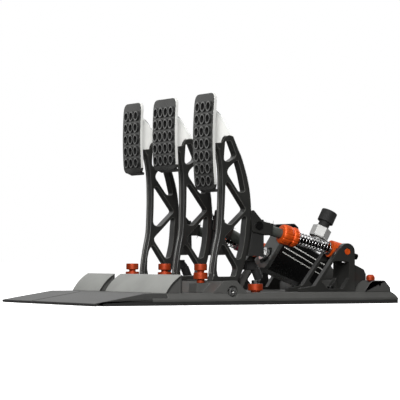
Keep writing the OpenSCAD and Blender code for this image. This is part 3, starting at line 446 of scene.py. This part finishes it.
# Where a node's second finish lies: lengths in mm, areas in square mm.
COLLAR_INSIDE = 5.6
COLLAR_END = 42.0
SHORT_ON_RAIL = 90.0
RAIL_RECESS = 1.5
SEAM_CHAMFER = 1.7
NUT_FOOT = 26.6
BLOCK_MIDDLE = -2.0
BLOCK_EDGE = (19.2, 19.96)
BLOCK_EDGE_AREA = 60.0


def on_collar(pin_joint, direction):
    """Chooses the faces of a rod's thick collar: those well off the rod's axis, and its flat ends."""
    pin = Vector(joint[pin_joint]["pos_m"])
    along = Vector(direction).normalized()

    def chosen(face):
        off = face.center - pin
        reach = off.dot(along)
        if (off - along * reach).length > COLLAR_INSIDE * MM:
            return True
        return reach < COLLAR_END * MM and abs(face.normal.dot(along)) > 0.9

    return chosen


def on_sides(face):
    """The folded sides, the front lip and the faces in the joint of a heel plate: they take the
    darker coat as painted shade.
    """
    return abs(face.normal.x) > 0.5 or face.normal.y < -0.5


def on_ends(face):
    """A rail's end panels and the walls round them: every face that is short along the rail."""
    return face.normal.x ** 2 > 0.8 or face.area < SHORT_ON_RAIL * MM * MM


def on_nut(face):
    """The nut on top of the travel knob."""
    return face.center.z > NUT_FOOT * MM


def on_block_highlight_lines(face):
    """The bright lines along the cylinder block's two sides: a painted highlight."""
    off = abs(face.center.x - BLOCK_MIDDLE * MM)
    near_side = BLOCK_EDGE[0] * MM < off < BLOCK_EDGE[1] * MM
    return near_side and face.area < BLOCK_EDGE_AREA * MM * MM and abs(face.normal.x) < 0.999


# Pieces of two finishes: the main one, the second one, and which faces have the second.
SECOND_FINISH = {
    "heel_plate_main": (heel_coat, painted_shade_coat, on_sides),
    "heel_plate_clutch": (heel_coat, painted_shade_coat, on_sides),
    "heel_rail_main": (rail_finish, end_finish, on_ends),
    "heel_rail_clutch": (rail_finish, end_finish, on_ends),
    "travel_knob": (shaded_orange, black_oxide, on_nut),
    "cylinder_body": (black_block, milled_edge_and_highlight, on_block_highlight_lines),
    "rod_throttle": (shaded_rod_steel, collar_grey,
                     on_collar("throttle_link_swing", joint["throttle_preload_turn"]["axis"])),
    "rod_clutch": (shaded_rod_steel, collar_grey,
                   on_collar("clutch_link_swing", joint["clutch_preload_turn"]["axis"])),
    "rod_brake": (bright_steel, collar_grey,
                  on_collar("brake_link_swing", joint["brake_piston_slide"]["axis"])),
}


def paint_shade_on_rail_rims(piece, node):
    """Darkens the rims at a heel rail's two ends and the walls of the recess inside them: painted
    shade.
    """
    lo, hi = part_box(node)
    corners = piece.data.vertices

    def depth(vertex):
        return min(abs(corners[vertex].co.x - end) for end in (lo.x, hi.x))

    piece.data.materials.append(painted_shade_coat)
    for face in piece.data.polygons:
        if face.material_index == 1 and max(depth(v) for v in face.vertices) < RAIL_RECESS * MM:
            face.material_index = 2


def chamfer_seam(piece, node):
    """Chamfers a heel plate's top edges along the joint between the two, and paints them dark:
    painted shade in the joint.
    """
    lo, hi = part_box(node)
    seam = lo.x if node.endswith("_main") else hi.x
    corners = piece.data.vertices
    upward = set()
    for face in piece.data.polygons:
        if face.normal.z > 0.5:
            upward.update(face.edge_keys)

    def on_seam(edge):
        at_seam = all(abs(corners[v].co.x - seam) < 0.05 * MM for v in edge.vertices)
        return at_seam and edge.key in upward

    select_edges(piece, on_seam)
    bpy.ops.mesh.bevel(
        offset=SEAM_CHAMFER * MM, segments=1, affect="EDGES", clamp_overlap=False, material=1,
    )
    bpy.ops.object.mode_set(mode="OBJECT")


for node in sorted(frame["nodes"]):
    if node.startswith(OWN_SHAPE):
        continue
    piece = merged_copy(node, node + "_piece")
    shaded_edge_slot = -1
    if node in SECOND_FINISH:
        main, second, chosen = SECOND_FINISH[node]
        piece.data.materials.append(main)
        piece.data.materials.append(second)
        for face in piece.data.polygons:
            face.material_index = 1 if chosen(face) else 0
    if node.startswith("heel_rail_"):
        paint_shade_on_rail_rims(piece, node)
    if node.startswith("heel_plate_"):
        chamfer_seam(piece, node)
        # The plate's broken edges take the darker coat too: painted shade.
        shaded_edge_slot = 1
    broken_edges(piece, edge_width(node), edge_material=shaded_edge_slot)
    stand_for(piece, node, SPECIAL_FINISH.get(node, FINISH_OF_SLOT[slot_of[node]]))


# Knobs on the spring links: scalloped bar, turned round towards both ends. The shoulder is the
# length that is rounded, cut into rings at these shares of it. What lies nearer to the rod than
# KNOB_CORE stays as it is.
KNOB_ROUND = 2.4
KNOB_SHOULDER = 4.6
KNOB_RINGS = (0.06, 0.2, 0.4, 0.66, 1.0)
KNOB_CORE = 7.0


def link_knob(node, pin_joint):
    """A knob whose outer corners are drawn in along a quarter circle towards both ends."""
    piece = merged_copy(node, node + "_piece")
    pin = Vector(joint[pin_joint]["pos_m"])
    along = Vector(joint[pin_joint.replace("link_swing", "preload_turn")]["axis"]).normalized()
    spans = [(v.co - pin).dot(along) for v in piece.data.vertices]
    low, high = min(spans), max(spans)
    for share in KNOB_RINGS:
        for cut in (low + share * KNOB_SHOULDER * MM, high - share * KNOB_SHOULDER * MM):
            in_edit_mode(piece)
            bpy.ops.mesh.select_all(action="SELECT")
            bpy.ops.mesh.bisect(plane_co=pin + along * cut, plane_no=along)
            bpy.ops.object.mode_set(mode="OBJECT")
    for vertex in piece.data.vertices:
        off = vertex.co - pin
        reach = off.dot(along)
        across = off - along * reach
        near_end = 1 - min(reach - low, high - reach) / (KNOB_SHOULDER * MM)
        if near_end > 0 and across.length > KNOB_CORE * MM:
            drawn = KNOB_ROUND * MM * (1 - math.sqrt(max(0.0, 1 - min(1.0, near_end) ** 2)))
            vertex.co = pin + along * reach + across * (1 - drawn / across.length)
    take(piece)
    bpy.ops.object.shade_smooth_by_angle(angle=math.radians(32))
    return stand_for(piece, node, orange_dye)


for pedal in ("throttle", "clutch"):
    for part in ("preload_knob_", "lock_knob_"):
        link_knob(part + pedal, pedal + "_link_swing")


# Pedal arms and heads: cut from thick plate, well rounded along the front and rear, and the
# arms with a groove milled down the front edge. Rounds and the groove are in mm, the heights
# between which they run are in m. Faces behind ONE_WALL of metal are inside a window.
REAR_ROUND = 3.2
FRONT_ROUND = 2.2
GROOVE_LAND = 1.9
GROOVE_WALL = 0.5
GROOVE_DEPTH = 1.5
GROOVE_TOP = 0.204
GROOVE_FOOT = 0.040
ARM_REAR = (0.03, 0.23)
HEAD_REAR = (0.2, 0.262)
ONE_WALL = 3.0


def outer_faces(piece, towards, low, high):
    """The faces along a piece's front (-1) or rear (1) outline between two heights in m."""
    facing = [
        f for f in piece.data.polygons
        if f.normal.y * towards > 0.35 and abs(f.normal.x) < 0.05 and low < f.center.z < high
    ]
    corners = {f.index: [piece.data.vertices[v].co for v in f.vertices] for f in facing}

    def hidden(f):
        for g in facing:
            heights = [c.z for c in corners[g.index]]
            ahead = (g.center.y - f.center.y) * towards
            if min(heights) < f.center.z < max(heights) and ahead > ONE_WALL * MM:
                return True
        return False

    return {f.index for f in facing if not hidden(f)}


def round_outline(piece, towards, low, high, radius):
    """Rounds the long edges between a piece's flat sides and its front or rear outline."""
    outline = outer_faces(piece, towards, low, high)
    sides = {f.index for f in piece.data.polygons if abs(f.normal.x) > 0.95}
    faces_at = {}
    for face in piece.data.polygons:
        for key in face.edge_keys:
            faces_at.setdefault(key, []).append(face.index)

    def long_edge(edge):
        touched = faces_at.get(edge.key, [])
        return any(i in outline for i in touched) and any(i in sides for i in touched)

    select_edges(piece, long_edge)
    bpy.ops.mesh.bevel(offset=radius * MM, segments=4, affect="EDGES", clamp_overlap=False)
    bpy.ops.object.mode_set(mode="OBJECT")


def pedal_arm(pedal):
    """An arm with rounded edges, a grooved front, and a painted highlight in a lighter coat on its
    broken edges.
    """
    node = "arm_" + pedal
    piece = merged_copy(node, node + "_piece")
    round_outline(piece, 1, *ARM_REAR, REAR_ROUND)
    round_outline(piece, -1, GROOVE_FOOT, GROOVE_TOP, FRONT_ROUND)
    front = outer_faces(piece, -1, GROOVE_FOOT, GROOVE_TOP)
    in_edit_mode(piece)
    select_faces(piece, lambda face: face.index in front)
    bpy.ops.mesh.inset(thickness=GROOVE_LAND * MM, depth=0)
    bpy.ops.mesh.inset(thickness=GROOVE_WALL * MM, depth=-GROOVE_DEPTH * MM)
    bpy.ops.object.mode_set(mode="OBJECT")
    piece.data.materials.append(arm_coat)
    piece.data.materials.append(edge_highlight_coat)
    # The broken edges take the lighter coat: a painted highlight.
    broken_edges(piece, edge_width(node), edge_material=1)
    return stand_for(piece, node, arm_coat)


def pedal_head(pedal):
    """A bright head whose rounded rear is painted a darker grey: painted shade."""
    node = "head_" + pedal
    piece = merged_copy(node, node + "_piece")
    round_outline(piece, 1, *HEAD_REAR, REAR_ROUND)
    piece.data.materials.append(head_finish)
    piece.data.materials.append(highlight_and_shade_grey)
    # The rounded rear faces take the darker grey: painted shade.
    for face in piece.data.polygons:
        face.material_index = 1 if face.normal.y > 0.3 and face.center.z > HEAD_REAR[0] else 0
    broken_edges(piece, edge_width(node))
    return stand_for(piece, node, head_finish)


# Face plates: a dark curved plate whose milled edge is left lighter, with a painted highlight on the
# tops of its rims and painted shade in black on their outer walls and in the holes. Lengths are in
# mm: the curve's radius, its middle in Y and Z, the rims' height, how far in from the outline a face
# still counts as the edge, and how much of the lower end has no bright edge. Angles are in degrees:
# the tilts at rest, and the bend at which the curve's facets are kept apart.
PLATE_CURVE = 586.0
PLATE_CENTRE = (539.0, 214.0)
REST_TILT = {"throttle": 0.0, "brake": 1.3, "clutch": 1.3}
RIM_HEIGHT = 2.2
EDGE_STRIP = 4.0
DULL_END = 12.0
FACET_BEND = 0.05


def curve_centre(pedal):
    """Y and Z of the middle of a face plate's curve, tilted with its pedal."""
    pivot = joint[pedal + "_press"]["pos_m"]
    lean = math.radians(REST_TILT[pedal])
    y = PLATE_CENTRE[0] * MM - pivot[1]
    z = PLATE_CENTRE[1] * MM - pivot[2]
    return (
        pivot[1] + y * math.cos(lean) - z * math.sin(lean),
        pivot[2] + y * math.sin(lean) + z * math.cos(lean),
    )


def stand_out(point, centre):
    """How far a point stands out of a plate's face, towards the driver."""
    return math.hypot(point.y - centre[0], point.z - centre[1]) - PLATE_CURVE * MM


def face_plate(pedal):
    """A plate with a bright milled edge, a painted highlight on its rims' tops, and painted shade in
    black round its rims and in its holes.
    """
    node = "face_plate_" + pedal
    piece = merged_copy(node, node + "_piece", bend=FACET_BEND)
    lo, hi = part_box(node)
    centre = curve_centre(pedal)
    for material in (plate_finish, milled_edge_and_highlight, highlight_and_shade_grey, painted_shade_black):
        piece.data.materials.append(material)
    for face in piece.data.polygons:
        reach = [stand_out(piece.data.vertices[v].co, centre) for v in face.vertices]
        inward = min(face.center.x - lo.x, hi.x - face.center.x, hi.z - face.center.z)
        outline = abs(face.normal.y) < 0.35 and inward < EDGE_STRIP * MM
        if outline and max(reach) < 0.5 * RIM_HEIGHT * MM and face.center.z > lo.z + DULL_END * MM:
            face.material_index = 1
        # Tops of the rims: a painted highlight in lighter grey.
        elif min(reach) > 0.8 * RIM_HEIGHT * MM:
            face.material_index = 2
        # Walls of the holes and outer walls of the rims: painted shade in black.
        elif max(reach) > 0.8 * RIM_HEIGHT * MM:
            face.material_index = 3
    broken_edges(piece, edge_width(node))
    return stand_for(piece, node, plate_finish)


for pedal in ("throttle", "brake", "clutch"):
    pedal_arm(pedal)
    pedal_head(pedal)
    face_plate(pedal)


# Coil springs: round wire wound about the rod. The first
# and the last turn are closed up, at CLOSED_PITCH times the wire. Lengths are in mm.
STEPS_PER_TURN = 28
WIRE = 1.8
COIL_RADIUS = 9.0
CLOSED_PITCH = 1.02


def coil_spring(node, turns, pin_joint):
    """A spring of so many turns, wound about its link's rod along the length of the CAD spring."""
    pin = Vector(joint[pin_joint]["pos_m"])
    knob = joint[pin_joint.replace("link_swing", "preload_turn")]
    along = Vector(knob["axis"]).normalized()
    side = Vector((1, 0, 0))
    up = side.cross(along).normalized()
    spans = [(v.co - pin).dot(along) for v in frame["nodes"][node].data.vertices]
    start = min(spans) + WIRE * MM / 2
    end = max(spans) - WIRE * MM / 2
    curve = bpy.data.curves.new(node + "_wire", "CURVE")
    curve.dimensions = "3D"
    curve.bevel_depth = WIRE * MM / 2
    curve.bevel_resolution = 3
    curve.use_fill_caps = True
    line = curve.splines.new("POLY")
    count = turns * STEPS_PER_TURN
    line.points.add(count)
    radius = (COIL_RADIUS - WIRE / 2) * MM
    closed = WIRE * MM * CLOSED_PITCH
    pitch = (end - start - 2 * closed) / (turns - 2)
    for i in range(count + 1):
        turn = i / STEPS_PER_TURN
        if turn < 1:
            run = turn * closed
        elif turn > turns - 1:
            run = closed + (turns - 2) * pitch + (turn - turns + 1) * closed
        else:
            run = closed + (turn - 1) * pitch
        angle = 2 * math.pi * turn
        round_rod = side * (radius * math.cos(angle)) + up * (radius * math.sin(angle))
        line.points[i].co = (*(pin + along * (start + run) + round_rod), 1)
    piece = bpy.data.objects.new(node + "_piece", curve)
    scene.collection.objects.link(piece)
    take(piece)
    bpy.ops.object.convert(target="MESH")
    piece = bpy.context.active_object
    take(piece)
    bpy.ops.object.shade_smooth_by_angle(angle=math.radians(60))
    piece.data.materials.append(spring_wire)
    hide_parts(node)
    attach(piece, body_of(node))
    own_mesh(piece)
    return piece


coil_spring("spring_throttle", 12, "throttle_link_swing")
coil_spring("spring_clutch_rear", 5, "clutch_link_swing")
coil_spring("spring_clutch_front", 5, "clutch_link_swing")


# Studio: a floor that is white to the camera and keeps a faint shadow, soft boxes and a world.
# Sizes are in m. The floor lies a hair under the rubber so that the two don't share a plane.
FLOOR_SIZE = 30.0
FLOOR_DROP = 0.0005
WALL_DIRECTION = (-0.885, 0.45, 0.12)


def studio_floor():
    """White for the camera. For light and reflections it is plain dark grey paper."""
    bpy.ops.object.select_all(action="DESELECT")
    bpy.ops.mesh.primitive_plane_add(size=FLOOR_SIZE, location=(0, 0, -FLOOR_DROP))
    floor = bpy.context.active_object
    floor.name = "studio_floor"
    material = bpy.data.materials.new("white_studio_floor")
    material.use_nodes = True
    tree = material.node_tree
    tree.nodes.clear()
    output = add_node(material, "ShaderNodeOutputMaterial")
    paper = add_node(material, "ShaderNodeBsdfDiffuse", Color=linear("#ffffff"))
    glow = add_node(material, "ShaderNodeEmission", Color=linear("#ffffff"), Strength=0.9)
    both = add_node(material, "ShaderNodeAddShader")
    connect(material, paper, "BSDF", both, 0)
    connect(material, glow, "Emission", both, 1)
    rays = add_node(material, "ShaderNodeLightPath")
    seen = add_node(material, "ShaderNodeMath", {"operation": "MAXIMUM"})
    connect(material, rays, "Is Camera Ray", seen, 0)
    connect(material, rays, "Is Transmission Ray", seen, 1)
    plain = add_node(material, "ShaderNodeBsdfDiffuse", Color=linear("#484848"))
    choice = add_node(material, "ShaderNodeMixShader")
    connect(material, seen, 0, choice, "Fac")
    connect(material, plain, "BSDF", choice, 1)
    connect(material, both, "Shader", choice, 2)
    connect(material, choice, "Shader", output, "Surface")
    floor.data.materials.append(material)


def soft_box(name, place, aim, size, power):
    """A rectangular light at a place, turned to its aim: metres and watts."""
    data = bpy.data.lights.new(name, "AREA")
    data.shape = "RECTANGLE"
    data.size = size[0]
    data.size_y = size[1]
    data.energy = power
    lamp = bpy.data.objects.new(name, data)
    lamp.location = place
    lamp.rotation_euler = (Vector(aim) - Vector(place)).to_track_quat("-Z", "Y").to_euler()
    scene.collection.objects.link(lamp)


def white_world():
    """White behind the set for the camera. For light and reflections it is a dim room with a
    bright wall beyond the set, which draws the bright grazing lines along dark edges."""
    world = bpy.data.worlds.new("studio")
    scene.world = world
    world.use_nodes = True
    world.node_tree.nodes.clear()
    output = add_node(world, "ShaderNodeOutputWorld")
    rays = add_node(world, "ShaderNodeLightPath")
    seen = add_node(world, "ShaderNodeMath", {"operation": "MAXIMUM"})
    connect(world, rays, "Is Camera Ray", seen, 0)
    connect(world, rays, "Is Transmission Ray", seen, 1)
    backdrop = add_node(world, "ShaderNodeBackground", Color=linear("#ffffff"), Strength=1.0)
    place = add_node(world, "ShaderNodeTexCoord")
    beyond = add_node(world, "ShaderNodeVectorMath", {"operation": "DOT_PRODUCT"})
    connect(world, place, "Generated", beyond, 0)
    beyond.inputs[1].default_value = WALL_DIRECTION
    ramp = add_node(world, "ShaderNodeValToRGB")
    ramp.color_ramp.elements[0].position = 0.35
    ramp.color_ramp.elements[0].color = linear("#4c4c4c")
    ramp.color_ramp.elements[1].position = 0.85
    ramp.color_ramp.elements[1].color = linear("#f4f4f4")
    connect(world, beyond, "Value", ramp, "Fac")
    lighting = add_node(world, "ShaderNodeBackground", Strength=0.9)
    connect(world, ramp, "Color", lighting, "Color")
    choice = add_node(world, "ShaderNodeMixShader")
    connect(world, seen, 0, choice, "Fac")
    connect(world, lighting, "Background", choice, 1)
    connect(world, backdrop, "Background", choice, 2)
    connect(world, choice, "Shader", output, "Surface")


studio_floor()
white_world()

# The key light stands beside the camera, the two behind draw the bright lines on dark edges.
soft_box("key_by_camera", (2.5, -1.5, 1.3), (0, 0, 0.12), (1.4, 1.0), 122)
soft_box("top", (0.2, -0.3, 2.2), (0, 0, 0.1), (1.4, 1.4), 24)
soft_box("rim_behind", (-0.2, 2.2, 0.8), (0, 0.05, 0.12), (1.2, 0.9), 18)
soft_box("edge_behind", (-1.2, 2.1, 0.35), (0, 0.05, 0.12), (0.5, 0.9), 14)
